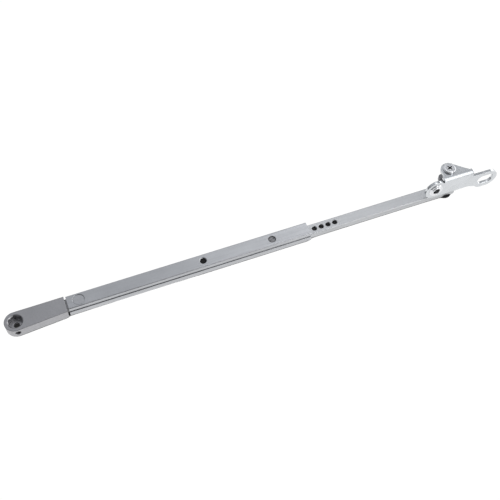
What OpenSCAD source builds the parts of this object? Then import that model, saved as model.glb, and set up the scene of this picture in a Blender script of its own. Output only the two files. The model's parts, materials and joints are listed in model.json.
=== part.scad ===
// Telescopic friction stay for a casement window.
// The rail lies along X, the arm slides out of its +X end and the bracket turns on the arm's eye.
// The origin is on the axis of the nose bore, at the underside of the rail.

/* [Rail] */
// Width of the rail's top face
rail_w = 12; // [11:0.5:14]
// Width of the rail over its lower flanges
flange_w = 13.2; // [13:0.1:15]
// Height of the rail
rail_h = 8; // [8:0.5:10]
// Length of the rail
rail_len = 197.9; // [180:0.1:260]
// Side shift of the rail's centre line from the nose bore
rail_y = 2; // [0:0.5:3]

/* [End block] */
// Radius of the nose
nose_r = 8.3; // [8:0.1:10]
// Nose bore axis to the block's square end
block_len = 38.3; // [30:0.1:50]
// Pivot bore in the floor of the nose pocket
nose_bore_d = 4.5; // [3.5:0.5:5]
// Width across flats of the nose pocket
pocket_af = 10; // [8:0.5:10]

/* [Arm] */
// Width of the arm
arm_w = 9.7; // [8:0.1:9.7]
// Thickness of the arm
arm_t = 4.7; // [3:0.1:4.8]
// Length of arm outside the rail, mouth to eye centre
arm_out = 125; // [110:0.5:160]
// Length of arm past the eye centre
arm_past = 7.5; // [6:0.1:12]
// Diameter of the glide disc under the eye
glide_d = 12.6; // [12:0.1:20]
// Diameter of the adjusting holes
adjust_d = 3.9; // [3:0.1:5]
// Spacing of the adjusting holes
adjust_pitch = 6; // [6:0.5:8]
// Number of adjusting holes
adjust_count = 4; // [1:1:8]

/* [Bracket] */
// Thickness of the bracket plate
plate_t = 2.4; // [2:0.1:3]
// Height of the bracket pivot above the underside of the rail
pivot_z = 15.6; // [15:0.1:18]
// Radius of the bracket's pivot end
pivot_end_r = 9.1; // [8:0.1:9.5]
// Width of the mounting slot
slot_w = 9.2; // [5:0.1:10]
// Overall length of the mounting slot
slot_len = 14.6; // [11:0.1:16]
// Diameter of the clamp screw
clamp_d = 5; // [4:0.5:6]

/* [Hidden] */
$fn = 64;

// Finishes
ANODISED = [0.66, 0.67, 0.69];
CAST = [0.62, 0.63, 0.65];
PLATED = [0.80, 0.81, 0.83];
NYLON = [0.86, 0.86, 0.82];
RUBBER = [0.12, 0.12, 0.13];
BRASS = [0.75, 0.62, 0.32];
DARK_STEEL = [0.30, 0.30, 0.31];

eps = 0.5;                       // how far a cutter runs past the face it cuts
fit = 0.03;                      // radial clearance of a fixed pin or screw in its bore
running = 0.05;                  // radial clearance of a pin that turns in its bore

// Rail section
wall = 0.9;                      // side walls of the upper chamber
roof = 1.1;                      // top wall
lip_t = 0.8;                     // thickness of the lips under the lower chamber
step_z = 4.2;                    // height of the lower flanges
chamber_w = rail_w - 2 * wall;
lower_w = flange_w - 1.6;
mouth_w = arm_w + 0.4;           // open width between the lips
roof_z = rail_h - roof;
rail_edge = 0.8;                 // rounding of the rail's upper edges
recess_z = rail_h - 0.8;         // recess in the roof for the block rivet's head
recess_r = 4.4;
rail_x = block_len + 1.3;
rail_end = rail_x + rail_len;

// Stations along the rail
block_rivet_x = rail_x + 8.9;
spare_x = rail_end - 89.5;
brake_x = rail_end - 31.5;
tongue_end = rail_x + 20;

// Arm
arm_z = 0;                       // underside of the arm
arm_top = arm_z + arm_t;
arm_edge = 0.8;                  // rounding of the arm's upper edges
slider_x = tongue_end + 78.4;    // inner end of the arm and its slider shoe
slider_len = 20;
slider_rivet_x = slider_x + 5;
adjust_x = rail_end + 5.5;
eye_x = rail_end + arm_out;
bush_r = 3.3;
rivet_r = 2.5;                   // upright rivet in the eye
glide_t = 1.55;                  // glide disc, let into which is the rivet's lower head
glide_z = arm_z - 0.05 - glide_t;

// Knuckle on the eye: a flat base with an upright leg
base_z = arm_top + 0.55;
base_top = base_z + 2;
base_inner = eye_x - 10.5;
leg_r = 5.5;
pivot_x = eye_x - 14.5;
pivot_r = 3.5;                   // tubular rivet in the bracket

// Bracket: an upright plate in front of the leg, with a flange bent back over the knuckle
front_y = -7.1;
plate_back = front_y + plate_t;
leg_front = plate_back + 0.4;
leg_back = leg_front + 1.6;
rear_t = 0.3;                    // washer behind the leg
flange_top = pivot_z + 8.7;
flange_z = flange_top - plate_t;
bend_r = plate_t + 0.2;
bend_x = [pivot_x + 7, pivot_x + 34];
clamp_x = eye_x + 1.5;
clamp_y = 2.9;
lobe_r = 7.1;
slot_x = eye_x + 33.5;
slot_z = pivot_z - 5.7;
slot_end_r = 8.7;
slot_end_half = 2.2;

// Axes turned so that a flat outline stands across or along the rail
module on_rail() {
    translate([0, rail_y, 0])
        children();
}

// Outline drawn as (Y, Z), extruded from x0 to x1
module across(x0, x1) {
    translate([x0, 0, 0])
        rotate([90, 0, 90])
            linear_extrude(x1 - x0)
                children();
}

// Outline drawn as (X, Z), extruded from y0 to y1
module upright(y0, y1) {
    translate([0, y1, 0])
        rotate([90, 0, 0])
            linear_extrude(y1 - y0)
                children();
}

// Outline drawn as (X, Y), extruded from z0 to z1
module flat(z0, z1) {
    translate([0, 0, z0])
        linear_extrude(z1 - z0)
            children();
}

module post(x, y, z0, z1, r) {
    translate([x, y, z0])
        cylinder(r = r, h = z1 - z0);
}

// Horizontal pin along Y
module axle(x, z, y0, y1, r) {
    translate([x, y0, z])
        rotate([-90, 0, 0])
            cylinder(r = r, h = y1 - y0);
}

// Cone that breaks the top edge of an upright hole
module edge_break(x, y, z, r, c) {
    translate([x, y, z - c])
        cylinder(r1 = r, r2 = r + c + 0.01, h = c + 0.01);
}

// Rectangle on z0, centred on Y, with its two upper corners rounded
module round_top(w, z0, z1, r) {
    translate([-w / 2, z0])
        square([w, z1 - z0 - r]);
    translate([r - w / 2, z0])
        square([w - 2 * r, z1 - z0]);
    for (side = [-1, 1])
        translate([side * (w / 2 - r), z1 - r])
            circle(r);
}

// Section that fills the rail's two chambers, less a clearance
module chamber_fill(gap) {
    translate([-chamber_w / 2 + gap, step_z - gap - 0.1])
        square([chamber_w - 2 * gap, roof_z - step_z + 0.1]);
    translate([-lower_w / 2 + gap, lip_t + gap])
        square([lower_w - 2 * gap, step_z - 0.8 - lip_t - 2 * gap]);
    translate([-chamber_w / 2 + gap, lip_t + gap])
        square([chamber_w - 2 * gap, roof_z - lip_t - 2 * gap]);
}

module arm_section(gap) {
    round_top(arm_w + 2 * gap, arm_z - gap, arm_top + gap, arm_edge + gap);
}

// Rail side

module block_outline() {
    reach = norm([block_len, rail_w / 2 + 1.6 - rail_y]);
    lean = atan2(rail_y - rail_w / 2 - 1.6, block_len);
    touch = lean - acos(nose_r / reach);
    circle(nose_r, $fn = 128);
    polygon([
        [0, nose_r],
        [block_len, nose_r],
        [block_len, rail_y - rail_w / 2 - 1.6],
        [nose_r * cos(touch), nose_r * sin(touch)],
        [0, 0]
    ]);
}

pocket_floor = 2.4;
set_screw_y = 1.4 - nose_r;
set_screw_z = 4.4;

module end_block() {
    color(CAST)
        difference() {
            union() {
                flat(0, rail_h)
                    block_outline();
                on_rail() {
                    across(block_len - 1, rail_x + 1)
                        translate([-4.4, 1.4])
                            square([8.8, 5]);
                    across(rail_x, tongue_end)
                        chamber_fill(0.1);
                }
            }
            translate([0, 0, pocket_floor])
                rotate(30)
                    cylinder(d = pocket_af / cos(30), h = rail_h, $fn = 6);
            edge_break(0, 0, rail_h, pocket_af / 2 + 0.2, 0.8);
            post(0, 0, -eps, rail_h, nose_bore_d / 2);
            axle(0, set_screw_z, -nose_r - eps, 0, 2 + fit);
            post(block_rivet_x, rail_y, -eps, rail_h, 2.5 + fit);
        }
}

module block_set_screw() {
    color(DARK_STEEL)
        difference() {
            axle(0, set_screw_z, set_screw_y, -pocket_af / 2 - 0.2, 2);
            translate([0, set_screw_y - eps, set_screw_z])
                rotate([-90, 0, 0])
                    cylinder(d = 2.3, h = 1.5, $fn = 6);
        }
}

module rail_section() {
    groove = 0.35;
    difference() {
        union() {
            round_top(rail_w, 0, rail_h, rail_edge);
            round_top(flange_w, 0, step_z, 0.3);
        }
        for (side = [-1, 1])
            translate([side * rail_w / 2, step_z + groove / 2 - 0.05])
                square(groove, center = true);
        translate([-chamber_w / 2, lip_t])
            square([chamber_w, roof_z - lip_t]);
        translate([-lower_w / 2, lip_t])
            square([lower_w, step_z - 0.8 - lip_t]);
        translate([-mouth_w / 2, -eps])
            square([mouth_w, lip_t + 2 * eps]);
    }
}

module rail_profile() {
    color(ANODISED)
        on_rail()
            difference() {
                across(rail_x, rail_end)
                    rail_section();
                post(block_rivet_x, 0, roof_z - eps, rail_h, 2.5 + fit);
                post(block_rivet_x, 0, recess_z, rail_h + eps, recess_r);
                edge_break(block_rivet_x, 0, rail_h, recess_r, 0.3);
                post(spare_x, 0, roof_z - eps, rail_h + eps, 2.5);
                edge_break(spare_x, 0, rail_h, 2.5, 0.5);
                post(brake_x, 0, roof_z - eps, rail_h + eps, 3.2);
            }
}

module block_rivet() {
    color(ANODISED)
        on_rail() {
            post(block_rivet_x, 0, lip_t + 0.2, recess_z + 0.2, 2.5);
            post(block_rivet_x, 0, recess_z, recess_z + 0.4, recess_r - 0.05);
        }
}

module end_buffer() {
    color(RUBBER)
        on_rail()
            across(tongue_end, tongue_end + 2)
                translate([-4.5, 1.2])
                    square([9, 5.2]);
}

shoe_top = arm_top + 0.85;
bush_bottom = shoe_top + 0.45;

module brake_bush() {
    color(DARK_STEEL)
        on_rail()
            difference() {
                union() {
                    post(brake_x, 0, bush_bottom, rail_h - 0.1, 3.2 - 0.01);
                    post(brake_x, 0, bush_bottom, roof_z, 4.6);
                }
                post(brake_x, 0, bush_bottom - eps, rail_h + eps, 2.5 + running);
            }
}

module brake_screw() {
    slot = [4.2, 0.8, 0.9];
    color(PLATED)
        on_rail()
            difference() {
                post(brake_x, 0, shoe_top + 0.45, rail_h - 0.5, 2.5);
                translate([brake_x, 0, rail_h - 0.5])
                    rotate(25)
                        cube(slot, center = true);
            }
}

module brake_pressure_plate() {
    color(PLATED)
        on_rail()
            across(brake_x - 10, brake_x + 10)
                translate([-4, shoe_top])
                    square([8, 0.4]);
}

module brake_shoe() {
    color(NYLON)
        on_rail()
            across(brake_x - 12, brake_x + 12)
                translate([-4.6, arm_top + 0.05])
                    square([9.2, shoe_top - arm_top - 0.05]);
}

module mouth_guide() {
    color(RUBBER)
        on_rail()
            across(rail_end - 8.6, rail_end - 0.6)
                difference() {
                    chamber_fill(0.02);
                    arm_section(0.12);
                    translate([-mouth_w / 2, 0])
                        square([mouth_w, arm_z + 1]);
                }
}

// Arm side

module arm_bar() {
    corner = 1.2;
    end_x = eye_x + arm_past;
    color(ANODISED)
        on_rail()
            difference() {
                across(slider_x, end_x)
                    arm_section(0);
                for (i = [0 : adjust_count - 1]) {
                    post(adjust_x + i * adjust_pitch, 0, arm_z - eps, arm_top + eps, adjust_d / 2);
                    edge_break(adjust_x + i * adjust_pitch, 0, arm_top, adjust_d / 2, 0.4);
                }
                post(slider_rivet_x, 0, arm_z - eps, arm_top + eps, 1.5 + fit);
                post(eye_x, 0, arm_z - eps, arm_top + eps, bush_r);
                for (side = [-1, 1])
                    translate([end_x - corner, side * (arm_w / 2 - corner), arm_z - eps])
                        corner_cut(corner, side);
            }
}

// What is taken off an upright outer corner to round it
module corner_cut(r, side) {
    h = arm_t + 2 * eps;
    difference() {
        translate([0, side > 0 ? 0 : -2 * r, 0])
            cube([2 * r, 2 * r, h]);
        cylinder(r = r, h = h);
    }
}

module slider_shoe() {
    color(RUBBER)
        on_rail()
            difference() {
                across(slider_x - 1.5, slider_x + slider_len)
                    chamber_fill(0.15);
                across(slider_x, slider_x + slider_len + eps)
                    union() {
                        arm_section(0);
                        translate([-arm_w / 2, 0])
                            square([arm_w, arm_t - arm_edge]);
                    }
                post(slider_rivet_x, 0, 0, rail_h, 1.5 + fit);
            }
}

module slider_rivet() {
    color(PLATED)
        on_rail()
            post(slider_rivet_x, 0, arm_z + 0.1, roof_z - 0.6, 1.5);
}

module eye_bush() {
    color(BRASS)
        on_rail()
            difference() {
                post(eye_x, 0, arm_z, arm_top, bush_r);
                post(eye_x, 0, arm_z - eps, arm_top + eps, rivet_r + running);
            }
}

lower_head_r = 4.2;
lower_head_z = arm_z - 0.6;      // top of the rivet's lower head

// Disc under the eye that the arm glides on, with a recess for the rivet's lower head
module glide_disc() {
    color(RUBBER)
        on_rail()
            difference() {
                post(eye_x, 0, glide_z, glide_z + glide_t, glide_d / 2, $fn = 128);
                post(eye_x, 0, glide_z - eps, arm_z, rivet_r + running);
                post(eye_x, 0, glide_z - eps, lower_head_z + 0.05, lower_head_r + 0.2);
            }
}

// Knuckle

module knuckle_base() {
    intersection() {
        union() {
            translate([eye_x, 0])
                circle(arm_w / 2);
            translate([base_inner, -arm_w / 2])
                square([eye_x - base_inner, arm_w]);
        }
        translate([base_inner, leg_front])
            square([3 * arm_w, arm_w]);
    }
}

module knuckle_leg() {
    translate([pivot_x, pivot_z])
        circle(leg_r);
    polygon([
        [pivot_x - leg_r / 3, base_z],
        [eye_x - 4, base_z],
        [pivot_x + leg_r, pivot_z],
        [pivot_x - leg_r, pivot_z]
    ]);
}

module knuckle() {
    color(PLATED)
        on_rail()
            difference() {
                union() {
                    flat(base_z, base_top)
                        knuckle_base();
                    upright(leg_front, leg_back)
                        knuckle_leg();
                }
                post(eye_x, 0, base_z - eps, base_top + eps, rivet_r + fit);
                axle(pivot_x, pivot_z, leg_front - eps, leg_back + eps, pivot_r + fit);
            }
}

spring_t = 0.4;

module knuckle_rivet() {
    head_z = base_top + spring_t;
    color(PLATED)
        on_rail() {
            post(eye_x, 0, lower_head_z - 0.8, lower_head_z, lower_head_r);
            post(eye_x, 0, lower_head_z - 0.8, head_z + 1, rivet_r);
            post(eye_x, 0, head_z, head_z + 1, 4);
        }
}

module knuckle_washer() {
    color(NYLON)
        on_rail()
            difference() {
                post(eye_x, 0, arm_top + 0.05, base_z, 4.6);
                post(eye_x, 0, arm_top - eps, base_z + eps, rivet_r + running);
            }
}

module spring_washer() {
    color(PLATED)
        on_rail()
            difference() {
                post(eye_x, 0, base_top, base_top + spring_t, 3.8);
                post(eye_x, 0, base_top - eps, base_top + spring_t + eps, rivet_r + fit);
            }
}

// Tubular rivet: a dished head with a rolled rim in front, a rolled head behind
module pivot_rivet() {
    head_y = front_y - 0.9;
    tail_y = leg_back + rear_t;
    color(PLATED)
        on_rail()
            translate([pivot_x, 0, pivot_z])
                rotate([-90, 0, 0])
                    difference() {
                        union() {
                            translate([0, 0, head_y])
                                cylinder(r1 = 5.6, r2 = 6.3, h = 0.85);
                            translate([0, 0, head_y])
                                rotate_extrude()
                                    translate([3.6, 0])
                                        circle(0.8, $fn = 24);
                            translate([0, 0, head_y + 0.4])
                                cylinder(r = pivot_r, h = tail_y - head_y);
                            translate([0, 0, tail_y])
                                cylinder(r1 = 4.2, r2 = 3.8, h = 0.5);
                        }
                        translate([0, 0, head_y - 2])
                            cylinder(r = 2.8, h = tail_y - head_y + 4);
                    }
}

module ring_y(y0, y1, r_out, r_in) {
    on_rail()
        difference() {
            axle(pivot_x, pivot_z, y0, y1, r_out);
            axle(pivot_x, pivot_z, y0 - eps, y1 + eps, r_in);
        }
}

module pivot_washer() {
    color(NYLON)
        ring_y(plate_back + 0.05, leg_front, 5.4, pivot_r + running);
}

module rear_washer() {
    color(PLATED)
        ring_y(leg_back, leg_back + rear_t, 4.3, pivot_r + fit);
}

// Bracket

module plate_outline() {
    waist = pivot_z - 8.5;       // lower edge between pivot and slot
    translate([pivot_x, pivot_z])
        circle(pivot_end_r, $fn = 128);
    for (side = [-1, 1])
        translate([slot_x + side * slot_end_half, slot_z])
            circle(slot_end_r, $fn = 128);
    translate([slot_x - slot_end_half, slot_z - slot_end_r])
        square([2 * slot_end_half, 2 * slot_end_r]);
    polygon([
        [pivot_x, pivot_z - pivot_end_r + 0.2],
        [pivot_x + 14, waist],
        [slot_x - 15.5, waist],
        [slot_x - 9.5, slot_z - 5.2],
        [slot_x - 2, slot_z],
        [slot_x - 3, slot_z + slot_end_r],
        [bend_x[1], slot_z + slot_end_r + 0.4],
        [bend_x[1], flange_top - bend_r],
        [bend_x[0], flange_top - bend_r],
        [pivot_x + 2, pivot_z + pivot_end_r - 0.2],
        [pivot_x, pivot_z]
    ]);
}

module slot_cutter() {
    half = (slot_len - slot_w) / 2;
    r = slot_w / 2;
    c = 0.5;
    for (side = [-1, 1])
        translate([slot_x + side * half, 0, slot_z]) {
            axle(0, 0, front_y - eps, plate_back + eps, r);
            translate([0, front_y - 0.01, 0])
                rotate([-90, 0, 0])
                    cylinder(r1 = r + c, r2 = r, h = c);
        }
    upright(front_y - eps, plate_back + eps)
        translate([slot_x - half, slot_z - r])
            square([2 * half, slot_w]);
    across(slot_x - half, slot_x + half)
        polygon([
            [front_y - 0.01, slot_z - r - c],
            [front_y - 0.01, slot_z + r + c],
            [front_y + c, slot_z + r],
            [front_y + c, slot_z - r]
        ]);
}

module bend_section() {
    difference() {
        union() {
            translate([front_y + bend_r, flange_top - bend_r])
                circle(bend_r);
            translate([front_y, flange_top - bend_r - 2])
                square([plate_t, 2]);
            translate([front_y + bend_r, flange_z])
                square([2, plate_t]);
        }
        translate([plate_back, flange_z - 5])
            square([5, 5]);
    }
}

module flange_outline() {
    translate([clamp_x, clamp_y])
        circle(lobe_r);
    polygon([
        [bend_x[0], front_y + bend_r],
        [clamp_x - lobe_r * 0.97, clamp_y - 1.7],
        [clamp_x, clamp_y],
        [clamp_x + lobe_r * sin(30), clamp_y + lobe_r * cos(30)],
        [bend_x[1] - 4.8, clamp_y - 3],
        [bend_x[1], front_y + bend_r + 0.6],
        [bend_x[1], front_y + bend_r]
    ]);
}

module mounting_bracket() {
    color(PLATED)
        on_rail()
            difference() {
                union() {
                    upright(front_y, plate_back)
                        plate_outline();
                    across(bend_x[0], bend_x[1])
                        bend_section();
                    flat(flange_z, flange_top)
                        flange_outline();
                }
                axle(pivot_x, pivot_z, front_y - eps, plate_back + eps, pivot_r + running);
                slot_cutter();
                post(clamp_x, clamp_y, flange_z - eps, flange_top + eps, clamp_d / 2 + 0.1);
            }
}

// Half section of a pan head with a rounded rim, turned about Z
module pan_head(r, h, rim) {
    rotate_extrude($fn = 96) {
        square([r, h - rim]);
        square([r - rim, h]);
        translate([r - rim, h - rim])
            circle(rim);
    }
}

module clamp_screw() {
    head_h = 2.2;
    recess = [4.8, 1.2, 2 * 1.5];  // cross arm: length, width and twice the depth
    color(PLATED)
        on_rail()
            translate([clamp_x, clamp_y, 0])
                difference() {
                    union() {
                        post(0, 0, flange_z - 9.8, flange_top + 0.5, clamp_d / 2);
                        translate([0, 0, flange_top])
                            pan_head(clamp_d, head_h, 1);
                    }
                    for (turn = [22, 112])
                        translate([0, 0, flange_top + head_h])
                            rotate(turn)
                                cube(recess, center = true);
                }
}

module clamp_plate() {
    top = flange_z - 5;
    color(PLATED)
        on_rail()
            difference() {
                flat(top - 3.5, top) {
                    translate([clamp_x - 4.5, clamp_y])
                        circle(3.4);
                    translate([clamp_x + 4.5, clamp_y])
                        circle(3.4);
                    translate([clamp_x - 4.5, clamp_y - 3.4])
                        square([9, 6.8]);
                }
                post(clamp_x, clamp_y, top - 4, top + eps, clamp_d / 2 + fit);
            }
}

end_block();
block_set_screw();
rail_profile();
block_rivet();
end_buffer();
brake_bush();
brake_screw();
brake_pressure_plate();
brake_shoe();
mouth_guide();
arm_bar();
slider_shoe();
slider_rivet();
eye_bush();
glide_disc();
knuckle();
knuckle_rivet();
knuckle_washer();
spring_washer();
pivot_rivet();
pivot_washer();
rear_washer();
mounting_bracket();
clamp_screw();
clamp_plate();
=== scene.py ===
"""Looks of a telescopic friction stay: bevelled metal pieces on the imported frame, in a pale studio."""

import json
import math

import bmesh
import bpy
from mathutils import Matrix, Vector


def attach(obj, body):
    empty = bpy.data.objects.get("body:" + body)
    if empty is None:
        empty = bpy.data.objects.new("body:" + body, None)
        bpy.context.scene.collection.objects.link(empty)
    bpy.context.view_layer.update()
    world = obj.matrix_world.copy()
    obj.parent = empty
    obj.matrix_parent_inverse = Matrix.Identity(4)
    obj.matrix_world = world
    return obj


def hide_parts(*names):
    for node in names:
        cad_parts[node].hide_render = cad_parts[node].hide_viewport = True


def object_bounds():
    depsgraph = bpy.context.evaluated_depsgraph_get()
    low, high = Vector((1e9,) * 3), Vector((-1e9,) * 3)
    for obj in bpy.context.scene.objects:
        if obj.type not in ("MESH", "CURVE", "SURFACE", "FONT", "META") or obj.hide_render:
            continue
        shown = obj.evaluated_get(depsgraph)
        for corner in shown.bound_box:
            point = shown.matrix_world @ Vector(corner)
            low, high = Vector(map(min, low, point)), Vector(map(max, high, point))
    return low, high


MM = 0.001
NARROW_GAP = 1.5 * MM    # reach of the shade between two pieces that nearly touch
END_INSET = 1.2 * MM     # where long faces are cut, in from the ends of a piece
GRAIN_DEPTH = 0.05 * MM  # depth of the surface grain at full strength

# Camera: where it stands in metres, where it looks in degrees, and its lens on a 36 mm sensor
CAMERA_AT = (0.05134, -0.33534, 0.52817)
CAMERA_AZIMUTH = 21.94
CAMERA_ELEVATION = 55.33
CAMERA_ROLL = 0.994
CAMERA_LENS = 57.78

# Surroundings: the ceiling's brightest direction, the cosines to it where the ceiling is darkest and
# brightest, its strength at those two, and the strength of the plain backdrop
CEILING_TOWARD = (-0.1, 0.7, 0.7)
CEILING_LEAN = (0.5, 0.95)
CEILING_STRENGTH = (0.18, 0.67)
BACKDROP = 0.9


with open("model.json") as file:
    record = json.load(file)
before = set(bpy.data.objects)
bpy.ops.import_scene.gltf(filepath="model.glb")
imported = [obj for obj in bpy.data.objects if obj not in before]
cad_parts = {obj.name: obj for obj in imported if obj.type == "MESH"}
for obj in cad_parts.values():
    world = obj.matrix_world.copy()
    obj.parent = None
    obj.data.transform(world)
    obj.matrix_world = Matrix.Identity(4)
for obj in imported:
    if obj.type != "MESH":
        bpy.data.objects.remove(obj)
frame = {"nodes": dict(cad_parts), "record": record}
cad_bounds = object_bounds()
FLOOR_Z = cad_bounds[0][2]
nodes = frame["nodes"]
body_of = {n["node"]: None for n in frame["record"]["subparts"]}
for body, members in frame["record"]["behaviour"]["bodies"].items():
    for member in members:
        body_of[member] = body
slot_of = {n["node"]: n["material_slot"] for n in frame["record"]["subparts"]}


# ---------------------------------------------------------------- materials


class Nodes:
    """Builds one material's node tree, left to right."""

    def __init__(self, name):
        self.material = bpy.data.materials.new(name)
        self.material.use_nodes = True
        self.tree = self.material.node_tree
        self.tree.nodes.clear()
        self.column = 0

    def add(self, kind, inputs=None, **settings):
        node = self.tree.nodes.new(kind)
        node.location = (self.column * 180, 0)
        self.column += 1
        for key, value in settings.items():
            setattr(node, key, value)
        for key, value in (inputs or {}).items():
            socket = node.inputs[key]
            if isinstance(value, bpy.types.NodeSocket):
                self.tree.links.new(value, socket)
            else:
                socket.default_value = value
        return node

    def noise(self, scale, detail=2.0, stretch=(1, 1, 1), roughness=0.5):
        """Noise in the piece's own space, scale in cells per metre, stretched along the axes."""
        coord = self.add("ShaderNodeTexCoord")
        mapped = self.add("ShaderNodeMapping", {"Vector": coord.outputs["Object"], "Scale": stretch})
        found = self.add(
            "ShaderNodeTexNoise",
            {"Vector": mapped.outputs[0], "Scale": scale, "Detail": detail, "Roughness": roughness},
        )
        return found.outputs["Fac"]

    def spread(self, value, low, high, source=(0.3, 0.7)):
        """A value's range source, taken to low..high."""
        found = self.add(
            "ShaderNodeMapRange",
            {"Value": value, "From Min": source[0], "From Max": source[1], "To Min": low, "To Max": high},
        )
        return found.outputs[0]

    def mix(self, factor, first, second):
        """Blends two colours; 6 and 7 are the node's colour inputs and 2 is its colour output."""
        found = self.add(
            "ShaderNodeMix",
            {"Factor": factor, 6: first, 7: second},
            data_type="RGBA",
        )
        return found.outputs[2]

    def hollows(self, reach, source):
        """Mask for painted shade: 1 on open surfaces, falling to 0 deep in a hole of the piece or a
        narrow gap between two.
        """
        hole = self.add("ShaderNodeAmbientOcclusion", {"Distance": reach}, samples=8, only_local=True)
        gap = self.add("ShaderNodeAmbientOcclusion", {"Distance": NARROW_GAP}, samples=8)
        both = self.add(
            "ShaderNodeMath",
            {
                0: self.spread(hole.outputs["AO"], 0.0, 1.0, source=source),
                1: self.spread(gap.outputs["AO"], 0.0, 1.0, source=(0.3, 0.6)),
            },
            operation="MULTIPLY",
        )
        return both.outputs[0]

    def edges(self, rounded, low=0.02, high=0.25):
        """1 on sharp and rounded edges, 0 on flats, from how far a rounded normal leans."""
        shape = self.add("ShaderNodeNewGeometry")
        lean = self.add(
            "ShaderNodeVectorMath",
            {0: rounded, 1: shape.outputs["True Normal"]},
            operation="DOT_PRODUCT",
        )
        return self.spread(lean.outputs["Value"], 1.0, 0.0, source=(1 - high, 1 - low))


def tinted(colour, factor):
    return tuple(c * factor for c in colour[:3]) + (1.0,)


def metal(
    name,
    colour,
    roughness,
    grain=(1, 1, 1),
    grain_scale=900,
    bump=0.05,
    speckle=0.0,
    edge_tone=1.15,
    hollow_shade=0.2,
    reach=3.5 * MM,
    hollow=(0.08, 0.5),
    rounding=0.35 * MM,
):
    """Metal with cloudy colour, brushed or blasted grain, lighter or darker edges, and painted shade in
    hollows and narrow gaps.

    grain stretches the noise along each axis; the edge factor scales the colour on edges, and the shade
    factor scales the colour of the painted shade in hollows;
    reach is how far a hollow looks for a wall, and hollow is the openness taken to fully dark and clear.
    """
    n = Nodes(name)
    cloud = n.noise(55, detail=4)
    fine = n.noise(grain_scale, detail=3, stretch=grain)
    grit = n.noise(5200, detail=1)
    base = n.mix(n.spread(cloud, 0, 1), tinted(colour, 0.93), tinted(colour, 1.05))
    base = n.mix(n.spread(fine, 0, 0.35), base, tinted(colour, 0.84))
    if speckle:
        base = n.mix(n.spread(grit, 0, speckle, source=(0.5, 0.75)), base, tinted(colour, 1.35))
    rounded = n.add("ShaderNodeBevel", {"Radius": rounding}, samples=8).outputs[0]
    edge = n.edges(rounded)
    # Edges take the colour scaled by the edge factor: lighter on most metals, darker on the cast block
    toned = n.mix(edge, base, tinted(colour, edge_tone))
    # Painted shade: the colour darkens deep in holes of the piece and in narrow gaps between pieces
    toned = n.mix(n.hollows(reach, hollow), tinted(colour, hollow_shade), toned)
    rough = n.add(
        "ShaderNodeMath",
        {0: n.spread(fine, roughness * 0.85, roughness * 1.2), 1: n.spread(cloud, -0.03, 0.03)},
        operation="ADD",
    )
    height = n.add("ShaderNodeMath", {0: fine, 1: n.spread(grit, 0, 0.4)}, operation="ADD")
    rise = n.add(
        "ShaderNodeBump",
        {"Height": height.outputs[0], "Strength": bump, "Distance": GRAIN_DEPTH, "Normal": rounded},
    )
    shader = n.add(
        "ShaderNodeBsdfPrincipled",
        {
            "Base Color": toned,
            "Roughness": rough.outputs[0],
            "Normal": rise.outputs[0],
            "Metallic": 1.0,
        },
    )
    n.add("ShaderNodeOutputMaterial", {"Surface": shader.outputs[0]})
    return n.material


def plastic(name, colour, roughness, bump=0.1, shine=0.5):
    """Moulded plastic or rubber with fine texture."""
    n = Nodes(name)
    cloud = n.noise(120, detail=3)
    fine = n.noise(3500, detail=2)
    base = n.mix(n.spread(cloud, 0, 1), tinted(colour, 0.85), tinted(colour, 1.1))
    rise = n.add("ShaderNodeBump", {"Height": fine, "Strength": bump, "Distance": GRAIN_DEPTH})
    shader = n.add(
        "ShaderNodeBsdfPrincipled",
        {
            "Base Color": base,
            "Roughness": n.spread(fine, roughness * 0.85, roughness * 1.15),
            "Normal": rise.outputs[0],
            "Specular IOR Level": shine,
        },
    )
    n.add("ShaderNodeOutputMaterial", {"Surface": shader.outputs[0]})
    return n.material


ALONG = (0.04, 1, 1)  # grain drawn out along the rail
FINISHES = {
    "anodised_rail": metal(
        "anodised_rail", (0.50, 0.51, 0.53), 0.36, grain=ALONG, bump=0.12, speckle=0.2, hollow_shade=0.4
    ),
    "cast_block": metal(
        "cast_block",
        (0.42, 0.42, 0.435),
        0.40,
        bump=0.12,
        speckle=0.25,
        edge_tone=0.8,
        reach=2 * MM,
        rounding=0.8 * MM,
    ),
    "arm_steel": metal("arm_steel", (0.50, 0.51, 0.525), 0.34, grain=ALONG, bump=0.10),
    "plated_bracket": metal(
        "plated_bracket", (0.65, 0.67, 0.69), 0.22, grain_scale=500, bump=0.05, rounding=0.5 * MM
    ),
    # Bright fasteners get strong, far-reaching painted shade, so the bore of a tubular rivet looks dark
    "bright_fastener": metal(
        "bright_fastener",
        (0.80, 0.81, 0.83),
        0.18,
        grain_scale=1200,
        bump=0.04,
        hollow_shade=0.03,
        reach=9 * MM,
        hollow=(0.3, 0.6),
    ),
    "plain_steel": metal("plain_steel", (0.24, 0.24, 0.25), 0.35),
    "dark_steel": metal("dark_steel", (0.13, 0.13, 0.135), 0.38),
    "brass": metal("brass", (0.72, 0.58, 0.30), 0.30),
    "nylon": plastic("nylon", (0.78, 0.77, 0.72), 0.5),
    # Black nylon, the parts' own colour; the black slider under the rail's spare hole also stands in for
    # the shade seen down that hole
    "dark_nylon": plastic("dark_nylon", (0.02, 0.02, 0.022), 0.5, shine=0.15),
    "black_rubber": plastic("black_rubber", (0.03, 0.03, 0.03), 0.7),
}


# ---------------------------------------------------------------- pieces


def cut_near_ends(shape):
    """Slices across X just inside every end face, so that long faces keep their own shading."""
    places = set()
    for face in shape.faces:
        if abs(face.normal.x) > 0.999:
            places.add(round(face.calc_center_median().x - math.copysign(END_INSET, face.normal.x), 5))
    for x in sorted(places):
        bmesh.ops.bisect_plane(
            shape,
            geom=shape.verts[:] + shape.edges[:] + shape.faces[:],
            plane_co=(x, 0, 0),
            plane_no=(1, 0, 0),
            dist=0.001 * MM,
        )


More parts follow.
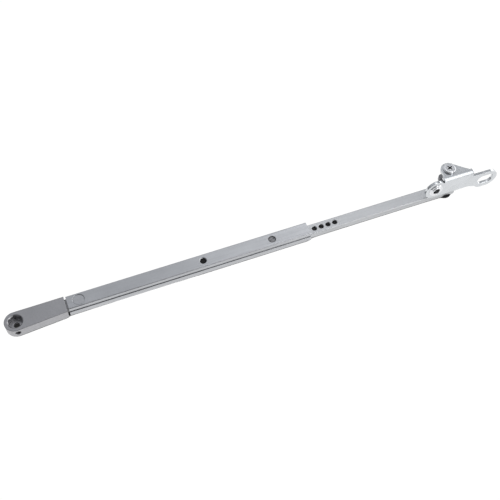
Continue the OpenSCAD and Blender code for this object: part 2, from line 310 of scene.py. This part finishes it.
def softened(node, width, segments=3, angle=28.0):
    """Adds a copy of a CAD node with its edges rounded in the mesh, to stand for the node."""
    source = nodes[node]
    mesh = source.data.copy()
    piece = bpy.data.objects.new(node + "_soft", mesh)
    bpy.context.scene.collection.objects.link(piece)
    shape = bmesh.new()
    shape.from_mesh(mesh)
    bmesh.ops.remove_doubles(shape, verts=shape.verts, dist=0.002 * MM)
    bmesh.ops.dissolve_limit(
        shape,
        angle_limit=math.radians(0.5),
        use_dissolve_boundaries=False,
        verts=shape.verts,
        edges=shape.edges,
    )
    cut_near_ends(shape)
    shape.to_mesh(mesh)
    shape.free()
    modifier = piece.modifiers.new("round", "BEVEL")
    modifier.width = width
    modifier.segments = segments
    modifier.limit_method = "ANGLE"
    modifier.angle_limit = math.radians(angle)
    modifier.use_clamp_overlap = True
    modifier.harden_normals = True
    modifier.miter_outer = "MITER_ARC"
    bpy.context.view_layer.update()
    made = bpy.data.meshes.new_from_object(piece.evaluated_get(bpy.context.evaluated_depsgraph_get()))
    piece.modifiers.clear()
    piece.data = made
    made.materials.clear()
    made.materials.append(FINISHES[slot_of[node]])
    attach(piece, body_of[node])
    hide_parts(node)


# Width asked of the bevel; its overlap clamp gives less where a piece has short edges
ROUNDED = {
    "end_block": 0.9 * MM,
    "rail_profile": 0.12 * MM,
    "arm_bar": 0.4 * MM,
    "glide_disc": 0.3 * MM,
    "knuckle": 0.3 * MM,
    "mounting_bracket": 0.45 * MM,
    "clamp_screw": 0.08 * MM,
    "clamp_plate": 0.3 * MM,
    "pivot_rivet": 0.15 * MM,
    "knuckle_rivet": 0.3 * MM,
    "brake_screw": 0.12 * MM,
    "block_rivet": 0.12 * MM,
}

for node, thing in nodes.items():
    if node in ROUNDED:
        softened(node, ROUNDED[node])
    else:
        thing.data.materials.clear()
        thing.data.materials.append(FINISHES[slot_of[node]])


# ---------------------------------------------------------------- studio


def floor():
    """Evenly pale, with a painted shadow only where the part lies right over it."""
    n = Nodes("floor")
    painted_shadow_ao = n.add("ShaderNodeAmbientOcclusion", {"Distance": 15 * MM}, samples=32)
    # Painted shadow: the glow drops to near nothing where the part lies within reach above the floor
    level = n.spread(painted_shadow_ao.outputs["AO"], 0.02, 1.03, source=(0.28, 0.36))
    glow = n.add("ShaderNodeEmission", {"Color": (1, 1, 1, 1), "Strength": level})
    n.add("ShaderNodeOutputMaterial", {"Surface": glow.outputs[0]})
    mesh = bpy.data.meshes.new("floor")
    half = 3.0
    corners = [(-half, -half), (half, -half), (half, half), (-half, half)]
    mesh.from_pydata([(x, y, FLOOR_Z) for x, y in corners], [], [(0, 1, 2, 3)])
    mesh.materials.append(n.material)
    ground = bpy.data.objects.new("floor", mesh)
    bpy.context.scene.collection.objects.link(ground)


def softbox(name, target, toward, distance, size, radiance, along=(0, 0, 1)):
    """A rectangular lamp that stands off from its target; its height runs nearest to along."""
    lamp = bpy.data.lights.new(name, "AREA")
    lamp.shape = "RECTANGLE"
    lamp.size, lamp.size_y = size
    lamp.energy = radiance * math.pi * size[0] * size[1]
    out = Vector(toward).normalized()
    across = Vector(along).cross(out).normalized()
    up = out.cross(across)
    stand = Matrix((across, up, out)).transposed().to_4x4()
    thing = bpy.data.objects.new(name, lamp)
    thing.matrix_world = Matrix.Translation(Vector(target) + distance * out) @ stand
    bpy.context.scene.collection.objects.link(thing)


def camera():
    view = bpy.data.cameras.new("camera")
    view.sensor_width = 36
    view.lens = CAMERA_LENS
    view.clip_start = 0.01
    view.clip_end = 20
    thing = bpy.data.objects.new("camera", view)
    turn = Matrix.Rotation(math.radians(-CAMERA_AZIMUTH), 4, "Z")
    tip = Matrix.Rotation(math.radians(90 - CAMERA_ELEVATION), 4, "X")
    roll = Matrix.Rotation(math.radians(CAMERA_ROLL), 4, "Z")
    thing.matrix_world = Matrix.Translation(CAMERA_AT) @ turn @ tip @ roll
    bpy.context.scene.collection.objects.link(thing)
    bpy.context.scene.camera = thing


def surroundings():
    """A pale ceiling that darkens towards the front horizon, behind a plain pale backdrop."""
    world = bpy.data.worlds.new("studio")
    world.use_nodes = True
    tree = world.node_tree
    background = tree.nodes["Background"]
    coord = tree.nodes.new("ShaderNodeTexCoord")
    lean = tree.nodes.new("ShaderNodeVectorMath")
    lean.operation = "DOT_PRODUCT"
    lean.inputs[1].default_value = CEILING_TOWARD
    level = tree.nodes.new("ShaderNodeMapRange")
    level.inputs["From Min"].default_value = CEILING_LEAN[0]
    level.inputs["From Max"].default_value = CEILING_LEAN[1]
    level.inputs["To Min"].default_value = CEILING_STRENGTH[0]
    level.inputs["To Max"].default_value = CEILING_STRENGTH[1]
    tree.links.new(coord.outputs["Generated"], lean.inputs[0])
    tree.links.new(lean.outputs["Value"], level.inputs["Value"])
    path = tree.nodes.new("ShaderNodeLightPath")
    strength = tree.nodes.new("ShaderNodeMix")
    strength.inputs["B"].default_value = BACKDROP
    tree.links.new(path.outputs["Is Camera Ray"], strength.inputs["Factor"])
    tree.links.new(level.outputs[0], strength.inputs["A"])
    tree.links.new(strength.outputs["Result"], background.inputs["Strength"])
    background.inputs["Color"].default_value = (0.94, 0.96, 1.0, 1)
    bpy.context.scene.world = world
    settings = bpy.context.scene.view_settings
    settings.view_transform = "Standard"
    settings.look = "None"


# The lamps face the middle of the stay or its bracket
MIDDLE = (0.2, 0.0, 0.0)
BRACKET = (0.362, 0.0, 0.0)
camera()
surroundings()
floor()
softbox("back", MIDDLE, toward=(0.31, 0.52, 0.80), distance=1.5, size=(0.45, 0.9), radiance=0.62)
softbox("right", MIDDLE, toward=(0.96, 0.06, 0.27), distance=1.8, size=(2.6, 1.0), radiance=1.8)
softbox(
    "strip",
    BRACKET,
    toward=(0.44, -0.44, 0.78),
    distance=1.2,
    size=(0.55, 3.0),
    radiance=1.6,
    along=(0, 0.82, 0.57),
)
softbox("card", BRACKET, toward=(-0.1, -0.93, 0.34), distance=0.4, size=(0.4, 0.22), radiance=0.5)
